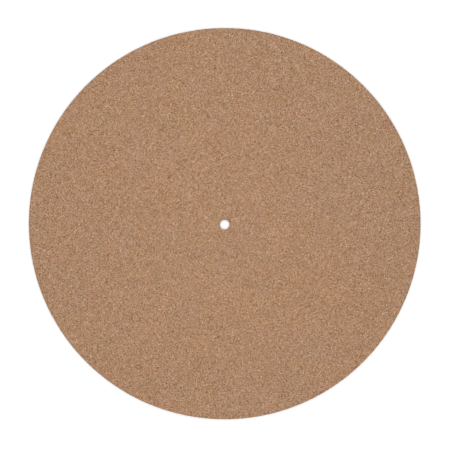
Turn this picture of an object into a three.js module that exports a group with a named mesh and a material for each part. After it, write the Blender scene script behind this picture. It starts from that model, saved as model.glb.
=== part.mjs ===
// A turntable platter mat: one disc of fine-grained composition cork, cut with a round knife from a
// flat sheet and punched in the middle for the spindle. It lies loose on the platter and the record
// lies on it.
//
// Millimetres, +Z up. The origin is the middle of the underside, on the spindle's axis.

import * as THREE from "three";

// Driving dimensions.
const MAT_DIAMETER = 300; // a full-size mat for a 12-inch record
const MAT_THICKNESS = 3; // the sheet it is cut from
const SPINDLE_DIAMETER = 7.1; // the platter's spindle
const SPINDLE_CLEARANCE = 0.05; // all round the spindle, so that the mat drops over it by itself

// The knife presses the cork down where it enters, so the cut edges on the playing side are rounder
// than the ones that lay on the cutting board.
const RIM_TOP_ROUND = 0.5;
const RIM_FOOT_ROUND = 0.2;
const HOLE_TOP_ROUND = 0.35;
const HOLE_FOOT_ROUND = 0.15;

// How finely the round forms are divided.
const STEPS_ROUND_THE_AXIS = 180;
const STEPS_TO_A_HALF_EDGE = 2;

const CORK = new THREE.MeshStandardMaterial({
  name: "cork",
  color: "rgb(172, 136, 107)",
  roughness: 0.9,
  metalness: 0,
});

// Half of the mat's section, as radius and height: out along the underside, up the rim, in over the
// playing side and down the wall of the hole, with a quarter turn at each of the four edges.
function section() {
  const rim = MAT_DIAMETER / 2;
  const hole = SPINDLE_DIAMETER / 2 + SPINDLE_CLEARANCE;
  const quarter = Math.PI / 2;
  const edges = [
    { radius: rim - RIM_FOOT_ROUND, height: RIM_FOOT_ROUND, round: RIM_FOOT_ROUND },
    { radius: rim - RIM_TOP_ROUND, height: MAT_THICKNESS - RIM_TOP_ROUND, round: RIM_TOP_ROUND },
    { radius: hole + HOLE_TOP_ROUND, height: MAT_THICKNESS - HOLE_TOP_ROUND, round: HOLE_TOP_ROUND },
    { radius: hole + HOLE_FOOT_ROUND, height: HOLE_FOOT_ROUND, round: HOLE_FOOT_ROUND },
  ];
  const outline = new THREE.Path();
  edges.forEach(({ radius, height, round }, turns) => {
    const start = (turns - 1) * quarter;
    outline.absarc(radius, height, round, start, start + quarter);
  });
  outline.closePath();
  return outline.getPoints(STEPS_TO_A_HALF_EDGE);
}

// The section turned once about the spindle's axis, which a lathe form has along Y.
function matGeometry() {
  const turned = new THREE.LatheGeometry(section(), STEPS_ROUND_THE_AXIS);
  return turned.rotateX(Math.PI / 2);
}

const mat = new THREE.Mesh(matGeometry(), CORK);
mat.name = "platter_mat";

const turntablePlatterMat = new THREE.Group();
turntablePlatterMat.name = "turntable_platter_mat";
turntablePlatterMat.add(mat);

export default turntablePlatterMat;
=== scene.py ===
"""A turntable platter mat: one disc of fine-grained composition cork, seen from above on a pale floor.

Metres, +Z up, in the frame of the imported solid, whose origin is the middle of the mat's underside. The
mat is a fine skin over the solid's own section. A geometry tree raises its granules and crumbles its
cut edges, and one procedural finish gives it the browns, the seams and the flecks of pressed cork.
"""

import dataclasses
import logging
import math
from dataclasses import dataclass, field
from enum import Enum

import bpy
import numpy as np
from mathutils import Color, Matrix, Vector
from mathutils.geometry import delaunay_2d_cdt


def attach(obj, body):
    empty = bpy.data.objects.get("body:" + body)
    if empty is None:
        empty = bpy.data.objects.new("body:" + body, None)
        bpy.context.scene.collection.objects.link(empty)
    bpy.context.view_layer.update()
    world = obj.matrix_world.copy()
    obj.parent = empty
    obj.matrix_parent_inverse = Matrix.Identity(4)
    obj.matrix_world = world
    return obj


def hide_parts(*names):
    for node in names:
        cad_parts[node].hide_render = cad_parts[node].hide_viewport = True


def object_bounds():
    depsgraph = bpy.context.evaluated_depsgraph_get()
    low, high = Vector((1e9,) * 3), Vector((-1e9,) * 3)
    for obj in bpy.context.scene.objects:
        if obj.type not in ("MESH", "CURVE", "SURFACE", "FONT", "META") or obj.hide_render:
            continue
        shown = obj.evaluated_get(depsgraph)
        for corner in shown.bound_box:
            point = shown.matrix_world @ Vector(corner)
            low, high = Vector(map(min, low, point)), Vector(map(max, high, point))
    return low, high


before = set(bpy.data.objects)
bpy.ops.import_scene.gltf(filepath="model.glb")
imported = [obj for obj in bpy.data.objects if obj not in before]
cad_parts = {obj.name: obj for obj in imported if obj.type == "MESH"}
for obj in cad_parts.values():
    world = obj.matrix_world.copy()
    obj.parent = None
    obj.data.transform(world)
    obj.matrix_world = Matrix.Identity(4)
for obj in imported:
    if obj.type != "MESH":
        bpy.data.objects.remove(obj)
CAD_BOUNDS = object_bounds()

LOG = logging.getLogger("platter_mat")
MM = 0.001
MEAN_DRAW = 0.5  # what the noise and a granule's random draws, which run from 0 to 1, lie about
WHITE = (1.0, 1.0, 1.0, 1.0)
WHOLE_HULL = 0  # the kind of result in which a triangulation keeps all its triangles
SOCKET_KINDS = {float: "NodeSocketFloat", int: "NodeSocketInt", bpy.types.Material: "NodeSocketMaterial"}

Colour = tuple[float, float, float]
FullColour = tuple[float, float, float, float]  # with its opacity at the end, as a socket takes it
Place = tuple[float, float, float]
Span = tuple[float, float]
Socket = bpy.types.NodeSocket
Outputs = bpy.types.NodeOutputs
Inputs = dict[int | str, object]
Number = Socket | float
Tint = Socket | FullColour


def opaque(colour: Colour | Color) -> FullColour:
    """Gives a colour full opacity."""
    return (*colour, 1.0)


class Blend(Enum):
    """What the Mix node blends: its name there, the numbers of its two inputs, and its output's."""

    NUMBERS = ("FLOAT", 2, 3, 0)
    COLOURS = ("RGBA", 6, 7, 2)


class NodeTreeMaker:
    """Adds nodes to one node tree and joins them up."""

    layer_share: float = 0.6  # how strong a finer layer of noise is beside the one before it

    def __init__(self, tree: bpy.types.NodeTree) -> None:
        """Empties the tree that the nodes go into."""
        tree.nodes.clear()
        self.tree = tree

    def node(self, kind: str, inputs: Inputs | None = None, **settings: object) -> bpy.types.Node:
        """Adds one node.

        Args:
            kind: Blender's name for the type of node.
            inputs: what goes into its sockets, by name or number: a socket is linked, a value is set.
            settings: the node's own properties.

        Returns:
            The new node.
        """
        made = self.tree.nodes.new(kind)
        for name, value in settings.items():
            setattr(made, name, value)
        for name, value in (inputs or {}).items():
            if isinstance(value, Socket):
                self.tree.links.new(value, made.inputs[name])
            else:
                made.inputs[name].default_value = value
        return made

    def math(self, operation: str, *terms: Number) -> Socket:
        """Works out a sum of one, two or three numbers."""
        return self.node("ShaderNodeMath", dict(enumerate(terms)), operation=operation).outputs[0]

    def vector_math(self, operation: str, first: Socket, second: Socket | Place) -> Socket:
        """Works out a sum of two vectors."""
        made = self.node("ShaderNodeVectorMath", {0: first, 1: second}, operation=operation)
        return made.outputs["Vector"]

    def scaled(self, vector: Socket, factor: Number) -> Socket:
        """Multiplies a vector by a number."""
        made = self.node("ShaderNodeVectorMath", {0: vector, "Scale": factor}, operation="SCALE")
        return made.outputs["Vector"]

    def split(self, vector: Socket) -> Outputs:
        """Splits a vector, or the three parts of a colour, into X, Y and Z."""
        return self.node("ShaderNodeSeparateXYZ", {0: vector}).outputs

    def eased(self, value: Number, source: Span, target: Span = (0.0, 1.0)) -> Socket:
        """Maps one span of numbers onto another, eased at both ends and held inside it.

        Args:
            value: the number that is mapped.
            source: the span that it comes from, low end first.
            target: the span that it goes to.

        Returns:
            The socket with the mapped number.
        """
        names = ("From Min", "From Max", "To Min", "To Max")
        inputs = dict(zip(names, (*source, *target))) | {"Value": value}
        return self.node("ShaderNodeMapRange", inputs, interpolation_type="SMOOTHSTEP").outputs[0]

    def mixed(self, blend: Blend, share: Number, *values: Number | Tint, **settings: str) -> Socket:
        """Blends two values of one kind.

        Args:
            blend: what kind they are.
            share: how much there is of the second, from 0 to 1.
            values: the first and the second, or their sockets.
            settings: the node's other properties.

        Returns:
            The socket with the blend.
        """
        kind, *ends, output = blend.value
        inputs = {0: share} | dict(zip(ends, values))
        return self.node("ShaderNodeMix", inputs, data_type=kind, **settings).outputs[output]

    def mixed_numbers(self, share: Number, first: Number, second: Number) -> Socket:
        """Blends two numbers, where a share of 0 is the first and 1 the second."""
        return self.mixed(Blend.NUMBERS, share, first, second)

    def mixed_colours(self, share: Number, first: Tint, second: Tint) -> Socket:
        """Blends two colours, where a share of 0 is the first and 1 the second."""
        return self.mixed(Blend.COLOURS, share, first, second)

    def multiplied(self, colour: Socket, factor: Socket) -> Socket:
        """Multiplies a colour by another colour, or by a number."""
        return self.mixed(Blend.COLOURS, 1.0, colour, factor, blend_type="MULTIPLY")

    def swung(self, share: Socket, swing: Colour) -> Socket:
        """Makes a tint that swings about white, one way at a share of 0 and as far the other way at 1."""
        tints = (opaque(tuple(1 + sign * part for part in swing)) for sign in (1, -1))
        return self.mixed_colours(share, *tints)

    def noise(self, place: Socket, length: Number, detail: float) -> Outputs:
        """Makes smooth random numbers all through space.

        Args:
            place: where they are read, in metres.
            length: how far apart the largest changes lie, in metres.
            detail: how many finer layers are added.

        Returns:
            The outputs, with one number from 0 to 1 as Fac and three of them as Color.
        """
        scale = self.math("DIVIDE", 1.0, length)
        inputs = {"Vector": place, "Scale": scale, "Detail": detail, "Roughness": self.layer_share}
        return self.node("ShaderNodeTexNoise", inputs).outputs


def new_material(name: str) -> tuple[bpy.types.Material, NodeTreeMaker]:
    """Makes a material with no nodes in it yet.

    Args:
        name: the material's name.

    Returns:
        The material, and the maker of its nodes.
    """
    made = bpy.data.materials.new(name)
    made.use_nodes = True
    return made, NodeTreeMaker(made.node_tree)


def new_object(name: str, data: bpy.types.ID) -> bpy.types.Object:
    """Puts a new object into the scene.

    Args:
        name: the object's name.
        data: its mesh, light or camera.

    Returns:
        The object.
    """
    made = bpy.data.objects.new(name, data)
    bpy.context.scene.collection.objects.link(made)
    return made


@dataclass(frozen=True)
class GranulePattern:
    """How the cork's granules lie: large ones, and small ones that fill the room between them.

    The relief and the finish both read it, so that a granule which stands up is one that is drawn.
    Sizes are in metres. Inside a geometry tree they are the tree's own inputs.
    """

    large: Number = 0.6 * MM
    small: Number = 0.3 * MM
    bend: Number = 0.15 * MM  # how far the noise's ends shift an outline
    seed: Number = 3
    share_of_small: float = 0.6
    bend_length: float = 0.37 * MM
    bend_detail: float = 2.0
    seed_step: float = 0.1  # how far apart the patterns of two seeds lie

    def bent(self, maker: NodeTreeMaker, place: Socket) -> Socket:
        """Shifts a place a little, so that the granules' outlines aren't straight.

        Args:
            maker: the tree that it is done in.
            place: the place.

        Returns:
            The socket with the shifted place.
        """
        noise = maker.noise(place, self.bend_length, self.bend_detail)["Color"]
        centred = maker.vector_math("SUBTRACT", noise, (MEAN_DRAW, MEAN_DRAW, MEAN_DRAW))
        shift = maker.scaled(centred, maker.math("DIVIDE", self.bend, MEAN_DRAW))
        seeded = maker.math("MULTIPLY", self.seed, self.seed_step)
        start = maker.node("ShaderNodeCombineXYZ", {"Z": seeded}).outputs["Vector"]
        return maker.vector_math("ADD", maker.vector_math("ADD", place, start), shift)

    def cells(self, maker: NodeTreeMaker, place: Socket, size: Number) -> tuple[Socket, Socket]:
        """Divides space into granules of one size.

        Args:
            maker: the tree that it is done in.
            place: the place.
            size: a granule's usual width.

        Returns:
            Three random numbers for the granule, and how far its nearest side is.
        """
        inputs = {"Vector": place, "Scale": maker.math("DIVIDE", 1.0, size)}
        whole = maker.node("ShaderNodeTexVoronoi", inputs, feature="F1")
        side = maker.node("ShaderNodeTexVoronoi", inputs, feature="DISTANCE_TO_EDGE")
        return whole.outputs["Color"], maker.math("MULTIPLY", side.outputs["Distance"], size)

    def granules(self, maker: NodeTreeMaker, place: Socket) -> tuple[Outputs, Socket]:
        """Divides space into large granules and clumps of small ones.

        Args:
            maker: the tree that it is done in.
            place: the place.

        Returns:
            The granule's random numbers, and how far its nearest side is. X sets its brown and its
            height, and Y its tint, its roughness and whether the knife tears it out.
        """
        bent = self.bent(maker, place)
        large, large_gap = self.cells(maker, bent, self.large)
        small, small_gap = self.cells(maker, bent, self.small)
        is_small = maker.math("LESS_THAN", maker.split(large)["Z"], self.share_of_small)
        both_gaps = maker.math("MINIMUM", small_gap, large_gap)
        draws = maker.split(maker.mixed_colours(is_small, large, small))
        return draws, maker.mixed_numbers(is_small, large_gap, both_gaps)


@dataclass(frozen=True)
class Drift:
    """A faint change of colour across the sheet, from one tint to another and back."""

    width: float
    swing: Colour
    start: float = 0.0  # where in the noise the mat's middle lies, so that no two drifts are alike
    detail: float = 2.0
    turn: Span = (0.3, 0.7)

    def tint(self, maker: NodeTreeMaker, place: Socket) -> Socket:
        """Makes the tint at a place.

        Args:
            maker: the material's tree.
            place: the place, in metres.

        Returns:
            The socket with a colour that the cork's own is multiplied by.
        """
        moved = maker.vector_math("ADD", place, (self.start, 0.0, 0.0))
        noise = maker.noise(moved, self.width, self.detail)["Fac"]
        return maker.swung(maker.eased(noise, self.turn), self.swing)


@dataclass(frozen=True)
class CorkFinish:
    """Bare composition cork: granules of many browns, flecked inside, with dark seams of binder between.

    The brown is written as it looks in a picture. A granule's draw, from 0 to 1, picks the shade that
    lightens or darkens it. A shade tells most on blue: light granules are paler, and dark ones redder.
    """

    pattern: GranulePattern
    brown: Colour = (0.705, 0.554, 0.433)
    shades: tuple[tuple[float, float], ...] = (
        (0.00, -0.34),
        (0.06, -0.2),
        (0.25, -0.06),
        (0.75, 0.06),
        (0.94, 0.128),
        (1.00, 0.163),
    )
    shade_on_parts: Colour = (0.955, 1.01, 1.085)
    granule_swing: Colour = (0.008, -0.003, -0.007)
    drifts: tuple[Drift, ...] = (
        Drift(8 * MM, (0.008, 0.0, -0.048)),
        Drift(8 * MM, (0.021, -0.009, 0.0), start=1.0),
        Drift(160 * MM, (0.011, 0.0, -0.02), start=21.05),
    )
    seam_width: float = 0.045 * MM
    seam_tint: Colour = (0.74, 0.68, 0.60)
    fleck: float = 0.25 * MM
    fleck_detail: float = 2.0
    fleck_turn: Span = (0.25, 0.75)
    fleck_shades: Span = (0.75, 1.25)
    crown_width: float = 0.18 * MM
    crown_depth: float = 0.04 * MM
    crown_strength: float = 0.7
    granule_lift: float = 0.35  # this lift and the next are shares of the crown's depth
    fleck_lift: float = 0.5
    roughness: Span = (0.82, 0.96)
    specular: float = 0.3

    def material(self) -> bpy.types.Material:
        """Builds the finish.

        Returns:
            The material.
        """
        made, maker = new_material("composition_cork")
        place = maker.node("ShaderNodeTexCoord").outputs["Object"]
        draws, gap = self.pattern.granules(maker, place)
        flecks = maker.noise(place, self.fleck, self.fleck_detail)["Fac"]
        factors = [
            maker.swung(draws["Y"], self.granule_swing),
            *(drift.tint(maker, place) for drift in self.drifts),
            self.seam(maker, gap),
            maker.eased(flecks, self.fleck_turn, self.fleck_shades),
        ]
        colour = self.browns(maker, draws["X"])
        for factor in factors:
            colour = maker.multiplied(colour, factor)
        inputs = {
            "Base Color": colour,
            "Roughness": maker.eased(draws["Y"], (0.0, 1.0), self.roughness),
            "Specular IOR Level": self.specular,
            "Normal": self.relief(maker, gap, draws["X"], flecks),
        }
        shader = maker.node("ShaderNodeBsdfPrincipled", inputs)
        maker.node("ShaderNodeOutputMaterial", {"Surface": shader.outputs["BSDF"]})
        return made

    def shaded(self, shade: float) -> Color:
        """Lightens the brown by a shade, or darkens it, and gives it as the light that it sends back."""
        parts = [part + shade * tells for part, tells in zip(self.brown, self.shade_on_parts)]
        return Color(parts).from_srgb_to_scene_linear()

    def browns(self, maker: NodeTreeMaker, draw: Socket) -> Socket:
        """Gives each granule one of the cork's browns.

        Args:
            maker: the material's tree.
            draw: a random number for the granule.

        Returns:
            The socket with the colour.
        """
        ramp = maker.node("ShaderNodeValToRGB", {"Fac": draw})
        stops = ramp.color_ramp.elements
        while len(stops) < len(self.shades):
            stops.new(1.0)
        for stop, (place, shade) in zip(stops, self.shades):
            stop.position = place
            stop.color = opaque(self.shaded(shade))
        return ramp.outputs["Color"]

    def seam(self, maker: NodeTreeMaker, gap: Socket) -> Socket:
        """Makes the tint of the thin seams of binder, which is white further inside a granule."""
        inside = maker.eased(gap, (0.0, self.seam_width))
        return maker.mixed_colours(inside, opaque(self.seam_tint), WHITE)

    def relief(self, maker: NodeTreeMaker, gap: Socket, draw: Socket, flecks: Socket) -> Socket:
        """Rounds the granules and sinks their seams and flecks.

        Args:
            maker: the material's tree.
            gap: how far the granule's side is.
            draw: a random number for the granule.
            flecks: the fine grain inside the granules.

        Returns:
            The socket with the bent normal.
        """
        height = maker.eased(gap, (0.0, self.crown_width))
        for part, lift in ((draw, self.granule_lift), (flecks, self.fleck_lift)):
            height = maker.math("MULTIPLY_ADD", part, lift, height)
        inputs = {"Height": height, "Distance": self.crown_depth, "Strength": self.crown_strength}
        return maker.node("ShaderNodeBump", inputs).outputs["Normal"]


@dataclass
class GranuleRelief:
    """What the press and the knife leave on the sheet: proud granules, a slight wave, crumbled cuts.

    How upright the skin's normal is, from 0 to 1, tells a flat side from a cut one.
    """

    pattern: GranulePattern
    thickness: float
    finish: bpy.types.Material
    granule_height: float = 0.05 * MM
    wave_height: float = 0.06 * MM
    wave_length: float = 45 * MM
    wave_detail: float = 1.0
    crumble_depth: float = 0.16 * MM
    torn_from: Span = (0.45, 1.0)  # a granule's draw, where it stays whole and where it is torn out
    flat_from: Span = (0.7, 1.0)
    cut_until: Span = (0.2, 0.98)

    def inputs(self) -> dict[str, float | int | bpy.types.Material]:
        """Names the inputs of the geometry tree.

        Returns:
            Their values by name.
        """
        return {
            "Large Granule": self.pattern.large,
            "Small Granule": self.pattern.small,
            "Outline Bend": self.pattern.bend,
            "Seed": self.pattern.seed,
            "Granule Height": self.granule_height,
            "Wave Height": self.wave_height,
            "Wave Length": self.wave_length,
            "Crumble Depth": self.crumble_depth,
            "Thickness": self.thickness,
            "Finish": self.finish,
        }

    def tree(self) -> tuple[bpy.types.NodeTree, dict[str, str]]:
        """Builds the geometry tree.

        Returns:
            The tree, and the identifier of each of its named inputs.
        """
        made = bpy.data.node_groups.new("pressed_granules", "GeometryNodeTree")
        for way in ("INPUT", "OUTPUT"):
            made.interface.new_socket("Geometry", in_out=way, socket_type="NodeSocketGeometry")
        names = {}
        for name, value in self.inputs().items():
            kind = SOCKET_KINDS[type(value)]
            names[name] = made.interface.new_socket(name, in_out="INPUT", socket_type=kind).identifier
        maker = NodeTreeMaker(made)
        given = maker.node("NodeGroupInput").outputs
        normal = maker.node("GeometryNodeInputNormal").outputs["Normal"]
        offset = maker.scaled(normal, self.height(maker, given, normal))
        inputs = {"Geometry": given["Geometry"], "Offset": offset}
        raised = maker.node("GeometryNodeSetPosition", inputs).outputs["Geometry"]
        smooth = maker.node("GeometryNodeSetShadeSmooth", {"Geometry": raised}).outputs["Geometry"]
        real = maker.node("GeometryNodeRealizeInstances", {"Geometry": smooth}).outputs["Geometry"]
        inputs = {"Geometry": real, "Material": given["Finish"]}
        finished = maker.node("GeometryNodeSetMaterial", inputs).outputs["Geometry"]
        maker.node("NodeGroupOutput", {"Geometry": finished})
        return made, names

    def height(self, maker: NodeTreeMaker, given: Outputs, normal: Socket) -> Socket:
        """Works out how far a point of the skin moves outwards.

        Args:
            maker: the geometry tree.
            given: the tree's inputs.
            normal: which way the skin looks.

        Returns:
            The socket with the height, which is below 0 where a granule is torn out of a cut side.
        """
        place = maker.node("GeometryNodeInputPosition").outputs["Position"]
        sizes = {
            "large": given["Large Granule"],
            "small": given["Small Granule"],
            "bend": given["Outline Bend"],
            "seed": given["Seed"],
        }
        draws = dataclasses.replace(self.pattern, **sizes).granules(maker, place)[0]
        upright = maker.math("ABSOLUTE", maker.split(normal)["Z"])
        flat = maker.eased(upright, self.flat_from)
        cut = maker.eased(upright, self.cut_until, (1.0, 0.0))
        torn = maker.eased(draws["Y"], self.torn_from, (0.0, -1.0))
        crumbled = maker.math("MULTIPLY", maker.math("MULTIPLY", torn, given["Crumble Depth"]), cut)
        pressed = maker.math("MULTIPLY", self.pressed(maker, given, place, draws["X"]), flat)
        return maker.math("ADD", pressed, crumbled)

    def pressed(self, maker: NodeTreeMaker, given: Outputs, place: Socket, draw: Socket) -> Socket:
        """Works out how far a point of a flat side is raised.

        Args:
            maker: the geometry tree.
            given: the tree's inputs.
            place: where the point lies.
            draw: a random number for its granule.

        Returns:
            The socket with the height of the granule and of the wave, which the underside hasn't.
        """
        granule = maker.math("MULTIPLY", maker.math("SUBTRACT", draw, MEAN_DRAW), given["Granule Height"])
        noise = maker.noise(place, given["Wave Length"], self.wave_detail)["Fac"]
        wave = maker.math("MULTIPLY", maker.math("SUBTRACT", noise, MEAN_DRAW), given["Wave Height"])
        share_up = maker.math("DIVIDE", maker.split(place)["Z"], given["Thickness"])
        return maker.math("ADD", granule, maker.math("MULTIPLY", wave, share_up))

    def apply(self, piece: bpy.types.Object) -> None:
        """Raises the piece's skin and leaves a plain mesh with no modifier.

        Args:
            piece: the bare skin.
        """
        tree, names = self.tree()
        modifier = piece.modifiers.new("granules", "NODES")
        modifier.node_group = tree
        for name, value in self.inputs().items():
            modifier[names[name]] = value
        depsgraph = bpy.context.evaluated_depsgraph_get()
        raised = bpy.data.meshes.new_from_object(
            piece.evaluated_get(depsgraph), preserve_all_data_layers=True, depsgraph=depsgraph
        )
        piece.modifiers.remove(modifier)
        bare = piece.data
        piece.data = raised
        bpy.data.meshes.remove(bare)


class Cut(Enum):
    """The two cut sides of the mat, and which way each looks from the middle of the section."""

    HOLE = -1
    RIM = 1


class Face(Enum):
    """The two flat sides of the mat, and which ring of a cut side each ends on, from below."""

    PLATTER_SIDE = 0
    RECORD_SIDE = -1


@dataclass(frozen=True)
class MapLayout:
    """How the mat's sides lie on its texture map: the record side large, the rest in the room beside it.

    All lengths are shares of the map's width, and a disc is given by its middle and its radius. The
    export keeps a piece's own map where it has this name.
    """

    name: str = "OFBake"
    record_side: tuple[float, float, float] = (0.415, 0.415, 0.41)
    platter_side: tuple[float, float, float] = (0.824, 0.824, 0.17)
    strips_corner: tuple[float, float] = (0.84, 0.01)
    strip_size: tuple[float, float] = (0.016, 0.61)
    strip_pitch: float = 0.024
    rim_strips: int = 4

    def on_disc(self, face: Face, points: np.ndarray) -> np.ndarray:
        """Places points of a flat side on the map.

        Args:
            face: which flat side.
            points: where they lie about the spindle's axis, in shares of the rim's radius.

        Returns:
            Their places on the map, unmirrored as each side is seen from outside.
        """
        seen_from_above = face is Face.RECORD_SIDE
        *middle, radius = self.record_side if seen_from_above else self.platter_side
        mirror = (1, 1) if seen_from_above else (1, -1)
        return np.array(middle) + points * mirror * radius

    def on_strips(self, cut: Cut, up: np.ndarray, turn: np.ndarray) -> np.ndarray:
        """Places the corners of a cut side's faces on the map: the rim in a few strips, the hole in one.

        Args:
            cut: which cut side.
            up: how far up the side each corner lies, from 0 to 1.
            turn: how far round it lies, from 0 to 1, with a face's own corners on the last axis.

        Returns:
            Their places on the map, unmirrored as each side is seen from outside.
        """
        strips, first = (self.rim_strips, 0) if cut is Cut.RIM else (1, self.rim_strips)
        strip = np.floor(turn.min(-1, keepdims=True) * strips)
        rightwards = 1 - up if cut is Cut.RIM else up
        across = (first + strip) * self.strip_pitch + rightwards * self.strip_size[0]
        along = (turn * strips - strip) * self.strip_size[1]
        return np.stack([across, along], -1) + self.strips_corner


@dataclass
class GatheredMesh:
    """A mesh in the making: its points and faces, and each face corner's place on the texture map."""

    points: np.ndarray = field(default_factory=lambda: np.empty((0, 3)))
    faces: list[list[int]] = field(default_factory=list)
    places: list[np.ndarray] = field(default_factory=list)

    def add_points(self, points: np.ndarray) -> np.ndarray:
        """Adds points.

        Args:
            points: where they lie, with X, Y and Z on the last axis.

        Returns:
            Their numbers, arranged as the points are.
        """
        start = len(self.points)
        self.points = np.concatenate([self.points, points.reshape(-1, 3)])
        return np.arange(start, len(self.points)).reshape(points.shape[:-1])

    def add_faces(self, corners: np.ndarray, places: np.ndarray) -> None:
        """Adds faces: their point numbers, anticlockwise from outside, and the corners' map places."""
        self.faces += corners.reshape(-1, corners.shape[-1]).tolist()
        self.places.append(places.reshape(-1, 2))

    def finished(self, name: str, map_name: str) -> bpy.types.Mesh:
        """Makes the mesh.

        Args:
            name: the mesh's name.
            map_name: the texture map's name.

        Returns:
            The mesh.
        """
        made = bpy.data.meshes.new(name)
        made.from_pydata(self.points.tolist(), [], self.faces)
        made.validate()
        made.uv_layers.new(name=map_name).uv.foreach_set("vector", np.concatenate(self.places).ravel())
        return made


@dataclass
class SheetSkin:
    """The mat's bare shape: a fine closed mesh over the solid's section, with nothing raised on it yet."""

    section: np.ndarray
    rim_steps: int = 840
    hole_steps: int = 48
    record_side_spacing: float = 1.17 * MM
    platter_side_spacing: float = 2.2 * MM
    finest_step: float = 0.12 * MM
    coarsest_step: float = 0.6 * MM
    margin: float = 0.65  # how far the sown points keep from a cut side, in spacings
    jitter: float = 0.22  # how far a sown point is shifted at most, in spacings
    seed: int = 7

    @classmethod
    def over(cls, node: bpy.types.Object, tolerance: float = 0.01 * MM, decimals: int = 7) -> "SheetSkin":
        """Reads the section from the solid, where its lathe form crosses the plane of X and Z.

        Args:
            node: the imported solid.
            tolerance: how near that plane a point of the section lies.
            decimals: how many places of a metre tell two points apart.

        Returns:
            A skin over that section.
        """
        places = np.array([vertex.co for vertex in node.data.vertices])
        crossing = places[(np.abs(places[:, 1]) < tolerance) & (places[:, 0] > 0)]
        return cls(np.unique(np.round(crossing[:, [0, 2]], decimals), axis=0))

    @property
    def thickness(self) -> float:
        """The sheet's thickness."""
        return float(np.ptp(self.section[:, 1]))

    def profile(self, cut: Cut) -> np.ndarray:
        """Takes one end of the section, with steps that suit the size of the granules.

        Args:
            cut: which end.

        Returns:
            Radius and height of each ring, from the underside up.
        """
        middle = (self.section.min(0) + self.section.max(0)) / 2
        outward = (self.section - middle) * (cut.value, 1)
        end = outward[:, 0] > 0
        turn = np.arctan2(outward[end, 1], outward[end, 0])
        points = self.section[end][np.argsort(turn)]
        kept = [points[0]]
        for point in points[1:]:
            gap = math.dist(point, kept[-1])
            if gap < self.finest_step:
                continue
            steps = math.ceil(gap / self.coarsest_step)
            kept += [kept[-1] + (point - kept[-1]) * share for share in np.arange(1, steps + 1) / steps]
        kept[-1] = points[-1]  # also where it was too near, because a flat side starts there
        return np.array(kept)

    def rings(self, cut: Cut) -> np.ndarray:
        """Turns one end of the section about the spindle's axis.

        Args:
            cut: which end.

        Returns:
            The points of each ring, from the underside up.
        """
        count = self.rim_steps if cut is Cut.RIM else self.hole_steps
        turn = np.arange(count) * math.tau / count
        around = np.stack([np.cos(turn), np.sin(turn)], 1)
        return np.array([np.c_[around * radius, np.full(count, up)] for radius, up in self.profile(cut)])

    def wall(self, cut: Cut, rings: np.ndarray, layout: MapLayout) -> tuple[np.ndarray, np.ndarray]:
        """Joins the rings of a cut side with four-cornered faces.

        Args:
            cut: which cut side.
            rings: the point numbers of each ring, from the underside up.
            layout: how the sides lie on the texture map.

        Returns:
            The corners of each face, and the corners' places on the map.
        """
        count, steps = rings.shape
        first_ring, first_step = np.indices((count - 1, steps))
        ring = first_ring[..., None] + (0, 0, 1, 1)
        step = first_step[..., None] + (0, 1, 1, 0)
        outwards = slice(None, None, cut.value)  # backwards at the hole, whose faces look inwards
        places = layout.on_strips(cut, ring / (count - 1), step / steps)
        return rings[ring, step % steps][..., outwards], places[..., outwards, :]

    def sown(self, inner: float, outer: float, spacing: float, draw: np.random.Generator) -> np.ndarray:
        """Scatters points evenly between two circles, as the seeds of a sunflower lie.

        Each point has the room that it would have in a grid of equal triangles.

        Args:
            inner: the inner circle's radius.
            outer: the outer circle's radius.
            spacing: how far apart neighbours lie.
            draw: where the small shifts come from.

        Returns:
            The points in the plane.
        """
        golden_turn = math.pi * (3 - math.sqrt(5))
        growth = spacing * math.sqrt(math.sqrt(3) / math.tau)
        first = math.ceil(((inner + self.margin * spacing) / growth) ** 2)
        last = math.floor(((outer - self.margin * spacing) / growth) ** 2)
        number = np.arange(first, last)
        radius = growth * np.sqrt(number)
        turn = number * golden_turn
        points = np.stack([radius * np.cos(turn), radius * np.sin(turn)], 1)
        return points + draw.uniform(-self.jitter, self.jitter, points.shape) * spacing

    def triangles(self, points: np.ndarray, nearest_mm: float = 1e-6) -> np.ndarray:
        """Joins the points of a flat side with triangles.

        Args:
            points: the ring at the hole, the ring at the rim and the points between them, in the plane.
            nearest_mm: how near each other two points count as one.

        Returns:
            The corners of each triangle, anticlockwise as they are seen from above.
        """
        edges = []
        for start, count in ((0, self.hole_steps), (self.hole_steps, self.rim_steps)):
            edges += [(start + step, start + (step + 1) % count) for step in range(count)]
        places = [Vector(point) for point in points / MM]
        _, _, faces, *_ = delaunay_2d_cdt(places, edges, [], WHOLE_HULL, nearest_mm)
        corners = np.array(faces)
        in_the_hole = (corners < self.hole_steps).all(1)
        return corners[~in_the_hole]

    def add_flat_side(
        self,
        made: GatheredMesh,
        face: Face,
        ends: list[np.ndarray],
        layout: MapLayout,
        draw: np.random.Generator,
    ) -> None:
        """Sows a flat side with points and joins them to one another and to the cut sides.

        Args:
            made: the mesh in the making, which gets the points and the faces.
            face: which flat side.
            ends: the point numbers of the ring at the hole and of the ring at the rim.
            layout: how the sides lie on the texture map.
            draw: where the sown points' small shifts come from.
        """
        spacing = self.record_side_spacing if face is Face.RECORD_SIDE else self.platter_side_spacing
        inner, outer = (math.hypot(*made.points[end[0], :2]) for end in ends)
        sown = self.sown(inner, outer, spacing, draw)
        level = made.points[ends[0][0], 2]
        numbers = np.concatenate([*ends, made.add_points(np.c_[sown, np.full(len(sown), level)])])
        points = made.points[numbers, :2]
        corners = self.triangles(points)
        if face is Face.PLATTER_SIDE:
            corners = corners[:, ::-1]
        spread = points / self.section[:, 0].max()
        made.add_faces(numbers[corners], layout.on_disc(face, spread[corners]))

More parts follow.
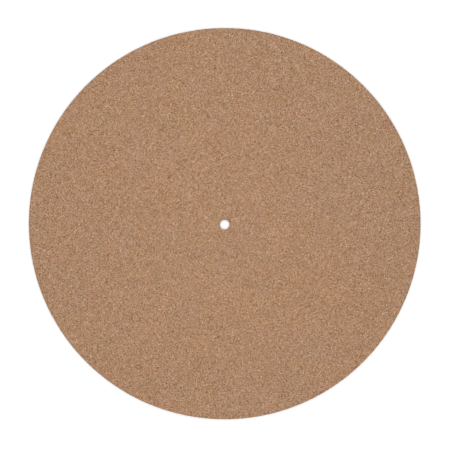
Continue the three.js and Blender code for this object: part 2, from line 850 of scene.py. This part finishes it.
    def mesh(self, name: str, layout: MapLayout) -> bpy.types.Mesh:
        """Builds the closed mesh.

        Args:
            name: the mesh's name.
            layout: how the sides lie on the texture map.

        Returns:
            The mesh, with its faces looking outwards.
        """
        made = GatheredMesh()
        rings = {cut: made.add_points(self.rings(cut)) for cut in Cut}
        for cut in Cut:
            made.add_faces(*self.wall(cut, rings[cut], layout))
        draw = np.random.default_rng(self.seed)
        for face in Face:
            ends = [rings[cut][face.value] for cut in Cut]
            self.add_flat_side(made, face, ends, layout, draw)
        return made.finished(name, layout.name)


@dataclass
class PlatterMat:
    """The whole mat: one piece of cork, bare all over."""

    pattern: GranulePattern = GranulePattern()
    layout: MapLayout = MapLayout()
    name: str = "cork_mat"
    node: str = "platter_mat"
    body: str = "root"
    slot: str = "cork"

    def build(self) -> bpy.types.Object:
        """Makes the mat and puts it in the place of its solid.

        Returns:
            The finished piece.
        """
        skin = SheetSkin.over(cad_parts[self.node])
        piece = new_object(self.name, skin.mesh(self.name, self.layout))
        GranuleRelief(self.pattern, skin.thickness, CorkFinish(self.pattern).material()).apply(piece)
        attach(piece, self.body)
        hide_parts(self.node)
        return piece


@dataclass
class Studio:
    """The pale floor, the soft lamp over the mat, and the even light of the room.

    Near the mat the floor glows less to the eye, so that it keeps the mat's shadow, and more beyond the
    lamp's reach, so that it stays white there. Each of the two lights is a share of the full light, in
    which a colour looks as it is written.
    """

    floor_width: float = 60.0
    floor_drop: float = 0.03 * MM  # just clear of the granules that stand out of the underside
    floor_colour: Colour = (0.88, 0.88, 0.88)
    glow_reach: Span = (0.22, 0.8)  # how far from the mat's middle the glow starts to grow, and stops
    glow: Span = (0.27, 0.58)
    room_light: float = 0.5
    lamp_light: float = 0.5
    lamp_size: tuple[float, float] = (0.36, 0.9)
    lamp_place: Place = (0.0, 0.02, 0.58)

    def build(self) -> None:
        """Makes the floor, the lamp and the room's light."""
        self.floor()
        self.lamp()
        self.room()

    def seen(self, maker: NodeTreeMaker) -> Socket:
        """Tells the rays that look at the background from those that carry light.

        Args:
            maker: the floor's or the world's tree.

        Returns:
            The socket with 1 for a ray from the camera, or one that is mirrored or passes through.
        """
        path = maker.node("ShaderNodeLightPath").outputs
        mirrored = maker.math("MAXIMUM", path["Is Glossy Ray"], path["Is Transmission Ray"])
        return maker.math("MAXIMUM", path["Is Camera Ray"], mirrored)

    def floor(self) -> None:
        """Makes the pale floor, which stays white where no shadow falls on it."""
        half = self.floor_width / 2
        corners = [(-half, -half), (half, -half), (half, half), (-half, half)]
        mesh = bpy.data.meshes.new("floor")
        mesh.from_pydata([(x, y, -self.floor_drop) for x, y in corners], [], [(0, 1, 2, 3)])
        material, maker = new_material("pale_floor")
        matt = maker.node("ShaderNodeBsdfDiffuse", {"Color": opaque(self.floor_colour)})
        place = maker.node("ShaderNodeTexCoord").outputs["Object"]
        away = maker.node("ShaderNodeVectorMath", {0: place}, operation="LENGTH").outputs["Value"]
        strength = maker.math("MULTIPLY", self.seen(maker), maker.eased(away, self.glow_reach, self.glow))
        glow = maker.node("ShaderNodeEmission", {"Color": WHITE, "Strength": strength})
        both = maker.node("ShaderNodeAddShader", {0: matt.outputs[0], 1: glow.outputs[0]})
        maker.node("ShaderNodeOutputMaterial", {"Surface": both.outputs[0]})
        mesh.materials.append(material)
        new_object("floor", mesh)

    def lamp(self) -> None:
        """Hangs an oval soft lamp over the mat, as bright on it as the lamp's share of full light."""
        light = bpy.data.lights.new("soft_lamp", "AREA")
        light.shape = "ELLIPSE"
        light.size, light.size_y = self.lamp_size
        mean_radius_squared = sum((side / 2) ** 2 for side in self.lamp_size) / 2
        # A round lamp of this power and mean radius, alone, shows a colour below it as it is written.
        full_power = math.pi**2 * (mean_radius_squared + self.lamp_place[2] ** 2)
        light.energy = full_power * self.lamp_light
        lamp = new_object("soft_lamp", light)
        lamp.location = self.lamp_place
        lamp.visible_camera = False

    def room(self) -> None:
        """Lights the mat evenly from all round, and shows the room as white."""
        world = bpy.data.worlds.new("room")
        world.use_nodes = True
        maker = NodeTreeMaker(world.node_tree)
        strength = maker.mixed_numbers(self.seen(maker), self.room_light, 1.0)
        light = maker.node("ShaderNodeBackground", {"Color": WHITE, "Strength": strength})
        maker.node("ShaderNodeOutputWorld", {"Surface": light.outputs[0]})
        bpy.context.scene.world = world


@dataclass
class Viewpoint:
    """The camera, which looks down on the mat from nearly straight above."""

    distance: float = 1.196
    tilt_deg: float = 2.4  # towards the top of the picture
    sensor: float = 36 * MM
    picture_px: float = 450
    mat_px: float = 391.8
    hole_px: tuple[float, float] = (224.70, 224.72)

    def build(self) -> bpy.types.Object:
        """Places the camera so that the mat has its size and place in the picture.

        Returns:
            The camera.
        """
        low, high = CAD_BOUNDS
        metres_a_px = (high.x - low.x) / self.mat_px
        right, down = ((self.picture_px / 2 - place) * metres_a_px for place in self.hole_px)
        aim = Vector((right, -down, high.z))
        tilt = math.radians(self.tilt_deg)
        data = bpy.data.cameras.new("camera")
        data.sensor_width = self.sensor / MM
        data.lens = data.sensor_width * self.distance / (self.picture_px * metres_a_px)
        camera = new_object("camera", data)
        camera.location = aim + self.distance * Vector((0, math.sin(tilt), math.cos(tilt)))
        camera.rotation_euler = (-tilt, 0, 0)
        bpy.context.scene.camera = camera
        return camera


def main() -> None:
    """Builds the mat, the studio and the camera, and reports each of them."""
    logging.basicConfig(level=logging.INFO, format="%(message)s")
    bpy.context.scene.view_settings.view_transform = "Standard"
    mat = PlatterMat().build()
    LOG.info("%s: %d faces, %.0f mm across", mat.name, len(mat.data.polygons), mat.dimensions.x / MM)
    Studio().build()
    LOG.info("studio: the floor, one lamp and the room's light")
    camera = Viewpoint().build()
    LOG.info("%s: %.0f mm lens, %.2f m up", camera.name, camera.data.lens, camera.location.z)


if __name__ == "__main__":
    main()
